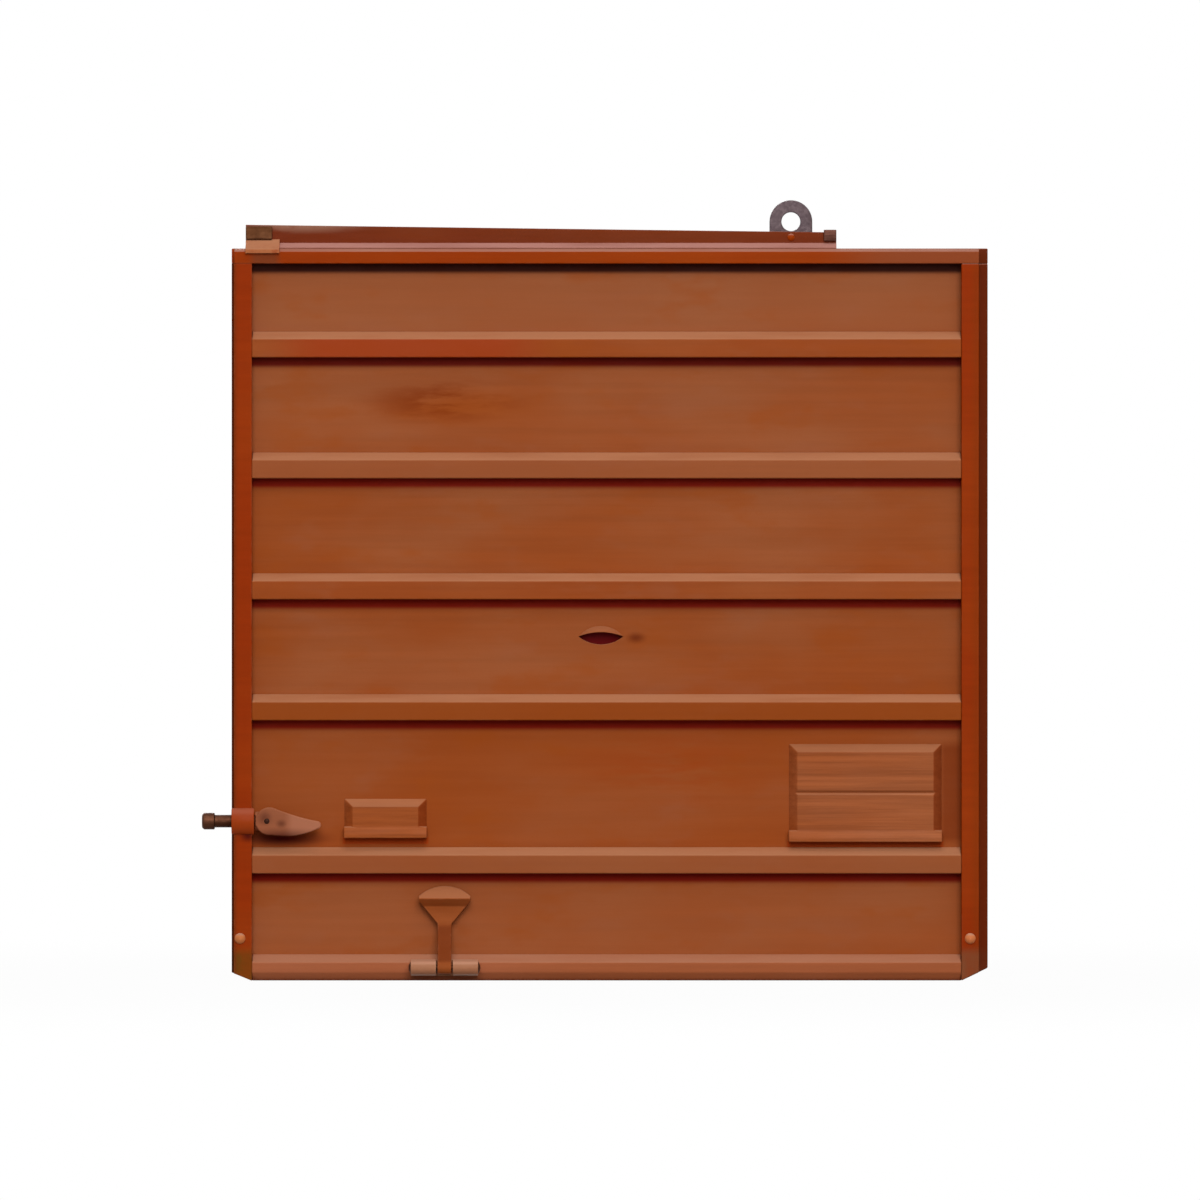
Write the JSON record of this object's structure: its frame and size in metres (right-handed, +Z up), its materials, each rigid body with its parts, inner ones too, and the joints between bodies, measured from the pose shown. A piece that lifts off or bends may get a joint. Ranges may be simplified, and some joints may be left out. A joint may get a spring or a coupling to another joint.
{
  "type": "model box car door",
  "caption": "Sliding door of a model box car: a ribbed, framed leaf with tack boards, a sliding latch bolt, a hinged lift lever and a hanger bar with a metal eye on its top edge.",
  "frame": {"origin": "middle of the sheet's bottom edge, halfway through the sheet's thickness", "axes": "+Z up the leaf, +X to the right when looking at the ribbed face, +Y out of the plain back, so the ribs face -Y"},
  "size_m": [0.0623, 0.0036, 0.062],
  "materials": {
    "brown_paint": "satin",
    "frame_paint": "satin",
    "board_paint": "painted satin",
    "bare_steel": "dull",
    "dark_steel": "dark oxide"
  },
  "bodies": {
    "door": {"door_sheet": "brown_paint", "left_stile": "frame_paint", "right_stile": "frame_paint", "top_rail": "frame_paint", "bottom_rail": "brown_paint", "rib_1": "brown_paint", "rib_2": "brown_paint", "rib_3": "brown_paint", "rib_4": "brown_paint", "rib_5": "brown_paint", "placard_board": "board_paint", "routing_board": "board_paint", "finger_pull": "brown_paint", "latch_guide": "frame_paint", "lever_bracket": "brown_paint", "lever_pin": "bare_steel", "hanger_bar": "brown_paint", "hanger_eye": "bare_steel", "eye_rivet": "frame_paint", "hanger_clip": "frame_paint", "left_stop": "dark_steel", "right_stop": "dark_steel", "stile_bolts": "frame_paint"},
    "bolt": {"latch_bolt": "bare_steel", "thumb_piece": "frame_paint", "thumb_pin": "dark_steel"},
    "lever": {"lift_lever": "brown_paint"}
  },
  "joints": [
    {"name": "bolt_slide", "type": "slide", "parent": "door", "child": "bolt", "axis": [1, 0, 0], "range_m": [0, 0.0013]},
    {"name": "lever_hinge", "type": "hinge", "parent": "door", "child": "lever", "pos_m": [-0.0131, -0.00255, 0.00105], "axis": [1, 0, 0], "range_deg": [0, 90]}
  ]
}
